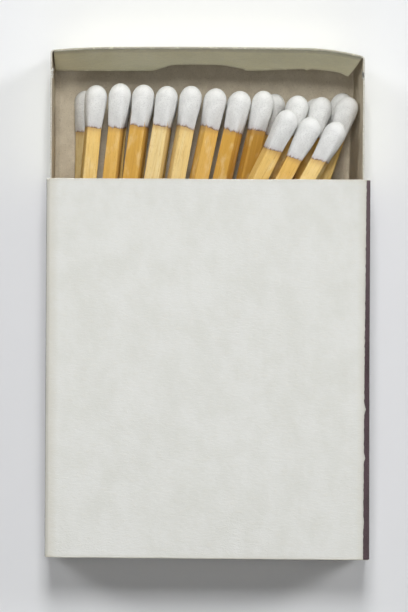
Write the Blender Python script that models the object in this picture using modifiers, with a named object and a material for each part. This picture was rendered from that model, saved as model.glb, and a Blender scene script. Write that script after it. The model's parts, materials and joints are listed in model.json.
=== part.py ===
"""A pocket matchbox: a folded card sleeve, a folded card tray that slides in it, and its matches.

Units are metres. +X is to the right, +Y is the way the tray opens and +Z is up.
The origin is at the centre of the sleeve's bottom face.
"""

from math import asin, cos, pi, radians, sin, sqrt, tan

import bmesh
import bpy
from mathutils import Matrix, Vector

MM = 0.001

# Matches
MATCH_LENGTH = 44.0 * MM
STICK_WIDTH = 2.1 * MM
STICK_CHAMFER = 0.12 * MM
HEAD_DIAMETER = 3.2 * MM
HEAD_LENGTH = 5.8 * MM
HEAD_WIDEST = 1.9 * MM      # from the tip to the widest place
HEAD_TIP = 0.9 * MM         # compound beyond the end of the stick
HEAD_TAPER = 1.5            # how the head narrows to its lower edge: 1 straight, 2 round
COMPOUND_EDGE = 0.1 * MM    # compound on the stick's faces at its lower edge
EDGE_SQUARENESS = 0.8       # the compound's lower edge in section: 0 round, 1 square
POCKET_GAP = 0.03 * MM      # round the part of the stick inside the head

# Clearances among the matches
HEAD_GAP = 0.1 * MM
BUTT_GAP = 0.06 * MM
LAYER_GAP = 0.1 * MM
FLOOR_GAP = 0.05 * MM
WALL_GAP = 0.1 * MM
LAYERS = 3

# Tray
TRAY_CARD = 0.35 * MM
TRAY_WIDTH = 43.7 * MM      # outside, at the top edges
HEADROOM = 0.6 * MM         # from the highest head to the tray's top edge
TIP_SPACE = 1.85 * MM       # from the front flap's free edge to the foremost head
BUTT_SPACE = 1.55 * MM      # from the rear flap's free edge to the straightest butt
RIGHT_SPLAY = 0.5 * MM      # the right wall leans out by this much at its top
TRAY_FOLD = 0.4 * MM        # outside radius of the folds round the floor and up the corners
TOP_FOLD = 0.5 * MM         # outside radius of the fold over each end wall
FLAP_LENGTH = 8.4 * MM
FLAP_LEAN = 12.5            # degrees from upright, free edge inwards
FLAP_SIDE_GAP = 0.25 * MM
ARCH_WIDTH = 13.2 * MM      # shallow arch cut into each flap's free edge
ARCH_HEIGHT = 3.5 * MM
ARCH_OFFSET = -0.7 * MM
END_ROUND = 8.4 * MM        # the end walls curve back over this width at each side
END_DROP_LEFT = 0.35 * MM
END_DROP_RIGHT = 1.05 * MM

# Sleeve
SLEEVE_CARD = 0.35 * MM
SLEEVE_FOLD = 0.55 * MM
SIDE_PLAY = 0.2 * MM
PLAY_ABOVE = 0.25 * MM
PLAY_BELOW = 0.25 * MM
LAP_HEIGHT = 9.0 * MM       # glued flap inside the right wall
LAP_GLUE = 0.03 * MM
LAP_EDGE = 0.15 * MM        # from the bottom face to the outer ply's free edge
TRAY_OPENING = 18.35 * MM   # how far the tray stands out at rest

# Striking surfaces
COAT = 0.08 * MM
COAT_SEAT = 0.01 * MM
COAT_MARGIN = 0.7 * MM      # bare card left at the lower edge of the right coat
COAT_SHIFT = 1.2 * MM       # the left coat's upper edge lies this far below its fold

# Fineness
FOLD_STEPS = 6
FLAP_STEPS = 3
WALL_STATIONS = 30
ROUND_SIDES = 16
DOME_RINGS = 3
TAPER_RINGS = 2
SMOOTH_ANGLE = radians(50)  # flatter meetings of faces are shaded smooth
CREASE_ANGLE = radians(45)  # sharper bends of the tray's card are rounded

# What follows from the sizes above
HALF_HEAD = HEAD_DIAMETER / 2
HALF_DIAGONAL = STICK_WIDTH / sqrt(2)
HEAD_TO_BUTT = MATCH_LENGTH - HEAD_WIDEST
FLAP_REACH = TOP_FOLD * (1 + cos(radians(FLAP_LEAN))) + FLAP_LENGTH * sin(radians(FLAP_LEAN))
TRAY_LENGTH = MATCH_LENGTH + TIP_SPACE + BUTT_SPACE + 2 * FLAP_REACH
STACK = LAYERS * HEAD_DIAMETER + (LAYERS - 1) * LAYER_GAP
TRAY_HEIGHT = TRAY_CARD + FLOOR_GAP + STACK + HEADROOM
SLEEVE_LENGTH = TRAY_LENGTH
SLEEVE_WIDTH = TRAY_WIDTH + 2 * SIDE_PLAY + 3 * SLEEVE_CARD + LAP_GLUE
SLEEVE_HEIGHT = TRAY_HEIGHT + PLAY_ABOVE + PLAY_BELOW + 2 * SLEEVE_CARD
TRAY_X = -(SLEEVE_CARD + LAP_GLUE) / 2
TRAY_Z = SLEEVE_CARD + PLAY_BELOW

# Rows of matches, from the left: how far the row starts from the left wall, how far its tips
# stand back from the foremost tip, the first match's lean and the most that the lean grows
# from one match to the next. Each match then has the spare width before its head, how far
# its tip stands back in its row, and its roll.
ROWS = [
    {"name": "lower_match", "layer": 0, "start": 2.9 * MM, "setback": 0.0 * MM,
     "lean": 2.0, "fan": 3.4, "matches": [
         (0.0, 0.9, 38), (1.25, 0.0, 14), (0.0, 0.17, 14), (0.0, 0.35, 14), (0.05, 0.31, 0),
         (0.15, 0.64, 10), (0.0, 1.0, 10), (1.8, 1.2, 8), (2.5, 1.85, 8), (0.0, 1.1, 0)]},
    {"name": "upper_match", "layer": 1, "start": 4.1 * MM, "setback": 0.0 * MM,
     "lean": 5.2, "fan": 1.9, "matches": [
         (0.0, 0.28, 14), (0.05, 0.0, -16), (0.0, 0.17, -16), (0.0, 0.35, -16),
         (0.05, 0.31, 18), (0.15, 0.64, 26), (0.1, 1.0, -28), (0.1, 1.0, 22),
         (1.4, 1.6, 0), (0.0, 1.8, 5), (0.0, 1.7, 5)]},
    {"name": "top_match", "layer": 2, "start": 31.0 * MM, "setback": 3.9 * MM,
     "lean": 26.3, "fan": 1.7, "matches": [
         (0.0, 0.0, 20), (0.05, 1.0, 4), (0.15, 1.7, -14)]},
]


def material(name, colour, roughness):
    """A plain Principled material."""
    made = bpy.data.materials.new(name)
    made.use_nodes = True
    shader = made.node_tree.nodes["Principled BSDF"]
    shader.inputs["Base Color"].default_value = (*colour, 1.0)
    shader.inputs["Roughness"].default_value = roughness
    shader.inputs["Metallic"].default_value = 0.0
    return made


def add_object(name, mesh, collection, parent=None, look=None):
    """An object in the collection, on its parent, with its material."""
    made = bpy.data.objects.new(name, mesh)
    collection.objects.link(made)
    made.parent = parent
    if look is not None and not mesh.materials:
        mesh.materials.append(look)
    return made


def add_empty(name, collection, parent=None):
    """A small empty that carries other objects."""
    made = bpy.data.objects.new(name, None)
    made.empty_display_size = 5 * MM
    collection.objects.link(made)
    made.parent = parent
    return made


def finish_mesh(bm, name):
    """Turn a bmesh into a mesh."""
    mesh = bpy.data.meshes.new(name)
    bm.to_mesh(mesh)
    bm.free()
    return mesh


def rounded_line(corners, radius):
    """Points along a bent line whose inner corners are arcs."""
    points = [Vector(corners[0])]
    for before, corner, after in zip(corners, corners[1:], corners[2:]):
        corner = Vector(corner)
        inward = (Vector(before) - corner).normalized()
        outward = (Vector(after) - corner).normalized()
        opening = inward.angle(outward)
        centre = corner + (inward + outward).normalized() * radius / sin(opening / 2)
        start = corner + inward * radius / tan(opening / 2) - centre
        turn = inward.cross(outward)
        sweep = (pi - opening) * (1 if turn < 0 else -1)
        for step in range(FOLD_STEPS + 1):
            spin = Matrix.Rotation(sweep * step / FOLD_STEPS, 2)
            points.append(centre + spin @ start)
    points.append(Vector(corners[-1]))
    return points


def ribbon(name, line, length):
    """An open sheet: a line in X and Z, drawn out along Y about the middle."""
    bm = bmesh.new()
    ends = [bm.verts.new((point.x, -length / 2, point.y)) for point in line]
    edges = [bm.edges.new(pair) for pair in zip(ends, ends[1:])]
    drawn = bmesh.ops.extrude_edge_only(bm, edges=edges)["geom"]
    moved = [item for item in drawn if isinstance(item, bmesh.types.BMVert)]
    bmesh.ops.translate(bm, verts=moved, vec=(0, length, 0))
    return finish_mesh(bm, name)


def thicken(thing, thickness, offset):
    """Give a sheet its thickness, on one side only."""
    solid = thing.modifiers.new("card", "SOLIDIFY")
    solid.thickness = thickness
    solid.offset = offset
    solid.use_even_offset = True
    solid.use_quality_normals = True


def sleeve_line():
    """The sleeve's outer face in section, from the glued lap round to the outer ply's edge."""
    half = SLEEVE_WIDTH / 2
    lap_face = half - SLEEVE_CARD - LAP_GLUE
    corners = [
        (lap_face, LAP_HEIGHT), (lap_face, 0), (-half, 0), (-half, SLEEVE_HEIGHT),
        (half, SLEEVE_HEIGHT), (half, LAP_EDGE)]
    return rounded_line(corners, SLEEVE_FOLD)


def right_coat_line():
    """The right striking surface: up the side and over most of the rounded fold."""
    face = SLEEVE_WIDTH / 2 + COAT_SEAT
    centre = Vector((SLEEVE_WIDTH / 2 - SLEEVE_FOLD, SLEEVE_HEIGHT - SLEEVE_FOLD))
    line = [Vector((face, COAT_MARGIN))]
    for step in range(FOLD_STEPS):
        angle = pi / 2 * step / FOLD_STEPS
        line.append(centre + Vector((cos(angle), sin(angle))) * (SLEEVE_FOLD + COAT_SEAT))
    return line


def left_coat_line():
    """The left striking surface: flat on the side, a little low."""
    face = -SLEEVE_WIDTH / 2 - COAT_SEAT
    top = SLEEVE_HEIGHT - SLEEVE_FOLD - COAT_SHIFT
    return [Vector((face, SLEEVE_FOLD)), Vector((face, top))]


def side_lean(across, height):
    """How far the tray narrows from its top edges to this height: only the right wall leans."""
    return (across / TRAY_WIDTH + 0.5) * RIGHT_SPLAY * (1 - height / TRAY_HEIGHT)


def tray_side(height, side):
    """The outer face of the tray's left (-1) or right (1) wall at a height above its floor."""
    across = side * TRAY_WIDTH / 2
    return across - side_lean(across, height)


def end_drop(x):
    """How far the end walls curve back from their middle at this place across the tray."""
    from_left = x + TRAY_WIDTH / 2
    from_right = TRAY_WIDTH / 2 - x
    drop = END_DROP_LEFT * max(0.0, 1 - from_left / END_ROUND) ** 2
    return drop + END_DROP_RIGHT * max(0.0, 1 - from_right / END_ROUND) ** 2


def flap_length(x):
    """The flap's length below its fold, shorter in the arch."""
    across = (x - ARCH_OFFSET) / (ARCH_WIDTH / 2)
    arch = sqrt(max(0.0, 1 - across * across))
    return FLAP_LENGTH - ARCH_HEIGHT * arch


def tray_stations():
    """Places across the tray, close to both walls and evenly between."""
    first = TRAY_CARD + FLAP_SIDE_GAP
    inner = TRAY_WIDTH - 2 * first
    even = [first + inner * step / (WALL_STATIONS - 2) for step in range(WALL_STATIONS - 1)]
    return [place - TRAY_WIDTH / 2 for place in [0.0, *even, TRAY_WIDTH]]


def tray_point(across, end, height, back=0.0):
    """A point on the tray's outer face, across its top edges and back from one end."""
    y = end * (TRAY_LENGTH / 2 - end_drop(across) - back)
    return Vector((across - side_lean(across, height), y, height))


def draw_out(bm, edges):
    """Extrude edges in place, and give the new edges and their vertices."""
    drawn = bmesh.ops.extrude_edge_only(bm, edges=edges)["geom"]
    new_edges = [item for item in drawn if isinstance(item, bmesh.types.BMEdge)]
    new_verts = [item for item in drawn if isinstance(item, bmesh.types.BMVert)]
    return new_edges, new_verts


def tray_sheet():
    """The tray as one folded sheet: floor, side walls, end walls and their turned-in flaps."""
    bm = bmesh.new()
    across = bm.verts.layers.float.new("across")
    end = bm.verts.layers.float.new("end")
    places = tray_stations()
    bmesh.ops.create_grid(bm, x_segments=WALL_STATIONS, y_segments=1, size=0.5)
    for vert in bm.verts:
        vert[across] = places[round((vert.co.x + 0.5) * WALL_STATIONS)]
        vert[end] = 1 if vert.co.y > 0 else -1
        vert.co = tray_point(vert[across], vert[end], 0)

    def at_corner(vert):
        return abs(vert[across]) > TRAY_WIDTH / 2 - TRAY_CARD

    rim = [edge for edge in bm.edges if edge.is_boundary]
    top_edges, tops = draw_out(bm, rim)
    for vert in tops:
        height = TRAY_HEIGHT if at_corner(vert) else TRAY_HEIGHT - TOP_FOLD
        vert.co = tray_point(vert[across], vert[end], height)

    lean = radians(FLAP_LEAN)
    last_angle = pi - lean
    steps = [(last_angle * step / FOLD_STEPS, 0.0) for step in range(1, FOLD_STEPS + 1)]
    steps += [(last_angle, step / FLAP_STEPS) for step in range(1, FLAP_STEPS + 1)]
    row = [edge for edge in top_edges if not any(at_corner(vert) for vert in edge.verts)]
    for angle, share in steps:
        row, row_verts = draw_out(bm, row)
        for vert in row_verts:
            run = flap_length(vert[across]) * share
            back = TOP_FOLD * (1 - cos(angle)) + run * sin(lean)
            height = TRAY_HEIGHT - TOP_FOLD * (1 - sin(angle)) - run * cos(lean)
            vert.co = tray_point(vert[across], vert[end], height, back)

    creases = [edge for edge in bm.edges if edge.calc_face_angle(0.0) > CREASE_ANGLE]
    bmesh.ops.bevel(bm, geom=creases, offset=TRAY_FOLD, segments=2, profile=0.5, affect="EDGES")
    return finish_mesh(bm, "tray")


def stick_mesh():
    """A square stick along +Y from its butt, with its long edges chamfered."""
    length = MATCH_LENGTH - HEAD_TIP
    bm = bmesh.new()
    bmesh.ops.create_cube(bm, size=1.0)
    bmesh.ops.scale(bm, vec=(STICK_WIDTH, length, STICK_WIDTH), verts=bm.verts)
    bmesh.ops.translate(bm, vec=(0, length / 2, 0), verts=bm.verts)
    long_edges = [edge for edge in bm.edges if edge.calc_length() > length / 2]
    bmesh.ops.bevel(bm, geom=long_edges, offset=STICK_CHAMFER, segments=1, affect="EDGES")
    return finish_mesh(bm, "stick")


def head_section(half_width, squareness, angle):
    """Distance from the axis to a section that runs from round (0) to square (1)."""
    square = 1 / max(abs(cos(angle)), abs(sin(angle)))
    return half_width * (1 - squareness + squareness * square)


def head_rings():
    """Rings from near the tip down to the compound's edge, then up inside the pocket."""
    rings = []
    for step in range(1, DOME_RINGS + 1):
        angle = pi / 2 * step / DOME_RINGS
        rings.append((HEAD_WIDEST * (1 - cos(angle)), HALF_HEAD * sin(angle), 0.0))
    pocket = STICK_WIDTH / 2 + POCKET_GAP
    narrowing = HALF_HEAD - pocket - COMPOUND_EDGE
    for step in range(1, TAPER_RINGS + 1):
        share = step / TAPER_RINGS
        below_tip = HEAD_WIDEST + (HEAD_LENGTH - HEAD_WIDEST) * share
        half_width = HALF_HEAD - narrowing * share ** HEAD_TAPER
        rings.append((below_tip, half_width, EDGE_SQUARENESS * share ** 2))
    rings.append((HEAD_LENGTH, pocket, 1.0))
    rings.append((HEAD_TIP - POCKET_GAP, pocket, 1.0))
    return rings


def head_mesh():
    """The head: a loft from a round dome to a square edge, with a pocket for the stick."""
    bm = bmesh.new()
    tip = bm.verts.new((0, MATCH_LENGTH, 0))
    loops = []
    for below_tip, half_width, squareness in head_rings():
        loop = []
        for side in range(ROUND_SIDES):
            angle = 2 * pi * side / ROUND_SIDES
            reach = head_section(half_width, squareness, angle)
            place = (reach * cos(angle), MATCH_LENGTH - below_tip, reach * sin(angle))
            loop.append(bm.verts.new(place))
        loops.append(loop)
    for first, second in zip(loops[0], loops[0][1:] + loops[0][:1]):
        bm.faces.new((tip, second, first))
    for upper, lower in zip(loops, loops[1:]):
        for side in range(ROUND_SIDES):
            after = (side + 1) % ROUND_SIDES
            bm.faces.new((upper[side], upper[after], lower[after], lower[side]))
    bm.faces.new(loops[-1])
    bmesh.ops.recalc_face_normals(bm, faces=bm.faces)
    mesh = finish_mesh(bm, "head")
    mesh.shade_smooth()
    mesh.set_sharp_from_angle(angle=SMOOTH_ANGLE)
    return mesh


def side_by_side(roll_a, roll_b):
    """The least distance between two square sticks that lie side by side, each with its roll."""
    distances = []
    for tilt in (roll_a, roll_b):
        reach = 0.0
        for roll in (roll_a, roll_b):
            turn = radians(tilt - roll)
            reach += STICK_WIDTH / 2 * (abs(cos(turn)) + abs(sin(turn)))
        distances.append(reach / cos(radians(tilt)))
    return min(distances)


def layer_height(layer, y):
    """Height of a layer's axes above the tray's underside: heads and butts rise differently."""
    front = TRAY_LENGTH / 2 - FLAP_REACH - TIP_SPACE
    setbacks = [row["setback"] + match[1] * MM for row in ROWS for match in row["matches"]]
    head_line = front - HEAD_WIDEST - max(setbacks)
    butt_line = front - MATCH_LENGTH
    bottom = TRAY_CARD + FLOOR_GAP
    at_heads = bottom + HALF_HEAD + layer * (HEAD_DIAMETER + LAYER_GAP)
    at_butts = bottom + HALF_DIAGONAL + layer * (2 * HALF_DIAGONAL + LAYER_GAP)
    share = (y - butt_line) / (head_line - butt_line)
    return at_butts + (at_heads - at_butts) * share


def row_places(row):
    """Head centre, lean and roll of each match of a row that fits between the tray's walls."""
    left_wall = tray_side(0, -1) + TRAY_CARD
    front = TRAY_LENGTH / 2 - FLAP_REACH - TIP_SPACE - row["setback"]
    rear = -TRAY_LENGTH / 2 + FLAP_REACH + WALL_GAP
    x = left_wall + row["start"] + HALF_HEAD
    room = (x - left_wall - HALF_DIAGONAL - WALL_GAP) / HEAD_TO_BUTT
    lean = min(radians(row["lean"]), asin(min(1.0, room)))
    places = []
    before = None
    for spare, back, roll in row["matches"]:
        y = front - back * MM - HEAD_WIDEST * cos(lean)
        if before is not None:
            pitch = HEAD_DIAMETER + HEAD_GAP + spare * MM
            x = before["x"] + (pitch + (y - before["y"]) * sin(lean)) / cos(lean)
            butts = side_by_side(before["roll"], roll) + BUTT_GAP
            lean += min(asin((pitch - butts) / HEAD_TO_BUTT), radians(row["fan"]))
        y = max(y, rear + HEAD_TO_BUTT * cos(lean) + HALF_DIAGONAL * sin(lean))
        height = layer_height(row["layer"], y)
        right_wall = tray_side(height, 1) - TRAY_CARD
        if x + HALF_HEAD + WALL_GAP > right_wall:
            break
        before = {"x": x, "y": y, "lean": lean, "roll": roll}
        places.append(before)
    return places


def match_matrix(place, layer):
    """The match's frame in the tray: +Y along the match from its butt, +Z up from its layer."""
    lean = place["lean"]
    slope = layer_height(layer, 1.0) - layer_height(layer, 0.0)
    along = Vector((sin(lean), cos(lean), slope * cos(lean))).normalized()
    up = Vector((0, -slope, 1)).normalized()
    across = along.cross(up)
    head = Vector((place["x"], place["y"], layer_height(layer, place["y"])))
    butt = head - along * HEAD_TO_BUTT
    turn = Matrix((across, along, up)).transposed().to_4x4()
    roll = Matrix.Rotation(radians(place["roll"]), 4, "Y")
    return Matrix.Translation(butt) @ turn @ roll


def build():
    """Make every piece and place it."""
    for thing in list(bpy.data.objects):
        bpy.data.objects.remove(thing, do_unlink=True)
    matchbox = bpy.data.collections.new("matchbox")
    bpy.context.scene.collection.children.link(matchbox)

    white_card = material("white_card", (0.76, 0.77, 0.73), 0.85)
    tray_board = material("tray_board", (0.46, 0.41, 0.31), 0.9)
    striking_coat = material("striking_coat", (0.10, 0.07, 0.08), 0.95)
    aspen = material("aspen", (0.78, 0.58, 0.26), 0.65)
    compound = material("compound", (0.80, 0.80, 0.77), 0.8)

    sleeve = add_object("sleeve", ribbon("sleeve", sleeve_line(), SLEEVE_LENGTH), matchbox,
                        look=white_card)
    thicken(sleeve, SLEEVE_CARD, 1)
    right_coat = add_object("striker_right", ribbon("striker_right", right_coat_line(),
                                                    SLEEVE_LENGTH), matchbox, look=striking_coat)
    thicken(right_coat, COAT, 1)
    left_coat = add_object("striker_left", ribbon("striker_left", left_coat_line(),
                                                  SLEEVE_LENGTH), matchbox, look=striking_coat)
    thicken(left_coat, COAT, -1)

    slide = add_empty("tray_slide", matchbox)
    slide.location = (TRAY_X, TRAY_OPENING, TRAY_Z)
    tray = add_object("tray", tray_sheet(), matchbox, slide, tray_board)
    thicken(tray, TRAY_CARD, 1)

    stick = stick_mesh()
    head = head_mesh()
    for row in ROWS:
        for number, place in enumerate(row_places(row), 1):
            name = f"{row['name']}_{number:02d}"
            match = add_empty(name, matchbox, slide)
            match.matrix_local = match_matrix(place, row["layer"])
            add_object(name + "_stick", stick, matchbox, match, aspen)
            add_object(name + "_head", head, matchbox, match, compound)


build()
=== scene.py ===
"""The looks of the matchbox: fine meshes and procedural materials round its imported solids.

Everything is in metres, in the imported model's own frame: +Y is the way the tray opens.
"""

import json
from math import cos, exp, pi, radians, sin, sqrt, tan

import bmesh
import bpy
import numpy as np
from mathutils import Matrix, Vector, noise

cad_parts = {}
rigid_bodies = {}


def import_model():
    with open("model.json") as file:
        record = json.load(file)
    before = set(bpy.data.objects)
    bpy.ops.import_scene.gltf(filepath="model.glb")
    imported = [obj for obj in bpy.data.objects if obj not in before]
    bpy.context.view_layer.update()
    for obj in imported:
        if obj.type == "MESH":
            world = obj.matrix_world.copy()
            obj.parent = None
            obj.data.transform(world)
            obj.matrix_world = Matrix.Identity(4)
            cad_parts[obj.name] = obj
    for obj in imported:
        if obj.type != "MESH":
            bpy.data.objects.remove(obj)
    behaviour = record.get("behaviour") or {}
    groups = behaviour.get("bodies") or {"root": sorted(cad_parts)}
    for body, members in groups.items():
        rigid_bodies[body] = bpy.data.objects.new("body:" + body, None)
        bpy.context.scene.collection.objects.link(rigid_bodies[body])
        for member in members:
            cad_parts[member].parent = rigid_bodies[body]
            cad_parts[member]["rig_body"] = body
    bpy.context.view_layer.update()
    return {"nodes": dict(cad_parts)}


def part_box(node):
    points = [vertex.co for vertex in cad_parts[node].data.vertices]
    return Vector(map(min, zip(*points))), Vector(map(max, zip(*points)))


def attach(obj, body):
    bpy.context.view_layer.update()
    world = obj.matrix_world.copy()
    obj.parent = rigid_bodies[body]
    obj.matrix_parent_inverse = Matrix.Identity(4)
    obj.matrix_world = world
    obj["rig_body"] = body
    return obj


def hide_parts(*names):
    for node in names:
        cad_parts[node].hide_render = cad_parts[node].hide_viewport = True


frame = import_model()

MM = 0.001

# Spacing of mesh rows along a piece: in its middle, near its ends and how far near reaches
SLEEVE_ROWS = (1.1 * MM, 0.16 * MM, 1.3 * MM)
COAT_ROWS = (0.4 * MM, 0.2 * MM, 2 * MM)
TRAY_ROWS = (1.1 * MM, 0.3 * MM, 6 * MM)

# Card
CARD = 0.35 * MM
RIM_ROUNDING = 0.07 * MM
RIM_ANGLE = 50                  # degrees: a rim sharper than this is rounded

# Sleeve
SLEEVE_LOW, SLEEVE_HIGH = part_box("sleeve")
SLEEVE_FOLD = 0.55 * MM
LAP_HEIGHT = 9.0 * MM
LAP_GLUE = 0.03 * MM
LAP_EDGE = 0.15 * MM
TOP_SAG = 0.08 * MM             # the top face is hollow by about this
SAG_UNEVEN = 0.5                # and by this share more or less from place to place
MOUTH_WAVE = 0.035 * MM         # how far the cut edges wander
MOUTH_REACH = 1.2 * MM          # and how far in from them that dies away
RIGHT_FLARE = 0.1 * MM          # the sleeve is wider by this on the right at its rear
LEFT_FLARE = 0.07 * MM          # and by this on the left all along
REAR_LEFT = 0.12 * MM           # its rear edge is cut aslant: it stands out by this on the left
REAR_RIGHT = 0.3 * MM           # and by this on the right
CHIP_DEPTH = 0.3 * MM           # knocked corner of the mouth, top left
CHIP_WIDTH = 0.35 * MM
FOLD_WEAR = 0.3 * MM            # how far from a fold the liner is rubbed
FOLD_RUB = 0.55                 # and how much, from 0 to 1
MOUTH_WEAR = 0.2 * MM           # the same beside the cut edges
MOUTH_RUB = 0.9
SLEEVE_STEP = 1.2 * MM          # spacing of the sleeve's mesh round its section

# Striking surfaces
COAT = 0.07 * MM                # the right coat stands out by this
COAT_SEAT = 0.015 * MM          # a coat is thinner than that by this
COAT_LEFT = 0.03 * MM           # the left coat is sunk in the card and stands out by this
COAT_ROUNDING = 0.02 * MM
COAT_MARGIN = 0.7 * MM          # the right coat begins this far above the sleeve's underside
COAT_END = 0.1 * MM             # both coats stop this far from the sleeve's ends
COAT_OVER = 0.05 * MM           # the right coat passes the top fold by this in the middle
COAT_OVER_TURN = 0.17 * MM      # and by this more at the rear, or less at the mouth
COAT_RAGGED = 0.09 * MM         # how far a coat's edges wander
COAT_RAGGED_FINE = 0.6 * COAT_RAGGED
COAT_EDGE = 0.07                # share of a coat's width, at each edge, that wanders with it
COAT_RIM = 0.8                  # from this share of the way across the mesh is finer
# Nicks in the right coat's edge: place along the sleeve, width and depth
COAT_NICKS = [(-5.6 * MM, 0.5 * MM, 0.22 * MM), (-12.3 * MM, 0.4 * MM, 0.2 * MM),
              (-21.3 * MM, 0.5 * MM, 0.1 * MM)]

# Tray
TRAY_LOW, TRAY_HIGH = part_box("tray")
TRAY_WIDTH = 43.7 * MM
TRAY_LENGTH = TRAY_HIGH.y - TRAY_LOW.y
TRAY_HEIGHT = 10.8 * MM
TRAY_PLACE = Vector((-0.19 * MM, (TRAY_LOW.y + TRAY_HIGH.y) / 2, TRAY_LOW.z))
TRAY_CARD = 0.22 * MM
TRAY_FOLD = 0.4 * MM
FOLD_ROOM = 0.6 * MM            # room beside an end wall that the mesh leaves for its fold
TRAY_ROUNDING = 0.05 * MM
WALL_HEIGHTS = (1.0, 2.6, 4.4, 6.2, 8.0, 9.4, 10.8)  # rows of the walls' mesh in millimetres
TOP_FOLD = 0.2 * MM
TRAY_WEAR = 0.14 * MM           # the liner is rubbed grey from the top down to about this
FRONT_SPLAY = 0.9 * MM          # the right wall leans out by this at the ends
MIDDLE_SPLAY = 1.5 * MM         # and by this along its middle
SPLAY_START = 3 * MM
SPLAY_RUN = 13 * MM
SPLAY_CURVE = 1.5               # beside the heads it leans more below than above
CURVE_PLACE = 8 * MM
CURVE_RUN = 4 * MM
WALL_SPREAD = 0.19 * MM         # both walls stand out by this near the ends
SPREAD_START = 20 * MM
SPREAD_RUN = 12 * MM
END_BOW = 0.2 * MM              # the end walls stand out by this in their middle
END_ROUND = 8.4 * MM            # and curve back over this, before the side walls
END_DROP_LEFT = 0.35 * MM
END_DROP_RIGHT = 1.05 * MM
WALL_RAGGED = 0.03 * MM         # how far the side walls' top edges wander
CREASE_PLACE = 0.95 * MM        # scored line on the floor beside each side wall
CREASE_HEIGHT = 0.07 * MM
CREASE_WIDTH = 0.16 * MM
# Columns of the mesh beside each side wall, in millimetres from it: close together at that line
CREASE_COLUMNS = (0.72, 0.82, 0.89, 0.95, 1.01, 1.08, 1.18, 1.35, 1.6)
LEAST_STEP = 0.05 * MM          # columns closer together than this are left out

# Flaps
FLAP_GAP = 0.45 * MM
FLAP_LENGTH = 7.3 * MM
FLAP_LEAN = 20.5                # degrees from the end wall
FLAP_CURL = 6.0                 # it leans more by this at its fold, and less at its free edge
FLAP_LEFT_PRESS = 6.0           # the left end leans less by this, pressed to the wall
FLAP_LEFT_DROP = 0.6 * MM       # and its free edge hangs lower by this
FLAP_LEFT_RUN = 9 * MM
FLAP_RIGHT_CUT = 1.1 * MM       # the flap is shorter by this towards the right
FLAP_RIGHT_TIP = 0.7 * MM       # and longer by this at its right end
FLAP_TIP_RUN = 2.6 * MM
FLAP_TAPER = 1.1 * MM           # its right end is cut aslant by this
FLAP_BOW = 0.12 * MM            # how far its face wanders
FLAP_WAVER = 0.05 * MM          # and its free edge
FLAP_STEPS = 7                  # rows of its mesh round the fold, and again down the flap
ARCH_LEFT = -7.9 * MM
ARCH_RIGHT = 5.75 * MM
ARCH_HEIGHT = 2.0 * MM
ARCH_CROWN = 0.12               # share of the arch's height that its sides lack
ARCH_LEFT_RAMP = 3.5 * MM
ARCH_RIGHT_RAMP = 4.4 * MM
ARCH_STEP = 0.32                # share of the right ramp that a step leaves out
TAB_PLACE = 14.4 * MM
TAB_WIDTH = 0.5 * MM
TAB_LENGTH = 0.45 * MM

# Torn corners of the tray: side, distance behind the front, length and depth
TEARS = [(-1, 3.3 * MM, 1.0 * MM, 0.35 * MM), (1, 2.75 * MM, 0.8 * MM, 0.3 * MM)]
SLIVERS = 34                    # torn fibres at each corner

# Matches
MATCH_LENGTH = 44.0 * MM
STICK_WIDTH = 2.1 * MM
STICK_CORNER = 0.12 * MM
STICK_ROUGHNESS = 0.022 * MM
STICK_STEP = 0.8                # millimetres between the rings of its mesh
BUTT_SHARE = 0.94               # its butt is narrower, at this share of its width
BUTT_ROUGHNESS = 0.05 * MM
STAIN_RUN = 0.9                 # millimetres below a head over which the wood is stained
HEAD_DIAMETER = 3.2 * MM
HEAD_LENGTH = 5.8 * MM
HEAD_WIDEST = 1.9 * MM
STICK_STOP = 1.5 * MM           # a stick ends this far below its head's tip
HEAD_SIDES = 44
HEAD_TAPER = 1.5
HEAD_LUMPS = 0.07 * MM
HEAD_POCKET = 0.03 * MM         # a head's pocket is narrower than its stick by this on each side
HEAD_EVEN = 0.35                # down to this share of its length a head isn't slanted or ragged
SQUARE_LIMIT = 1.32             # a square section's corners reach this times its half width
EDGE_RAGGED = 0.28 * MM
EDGE_THICKNESS = 0.07 * MM
BEND_START = 20 * MM            # a bent match is straight up to here

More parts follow.
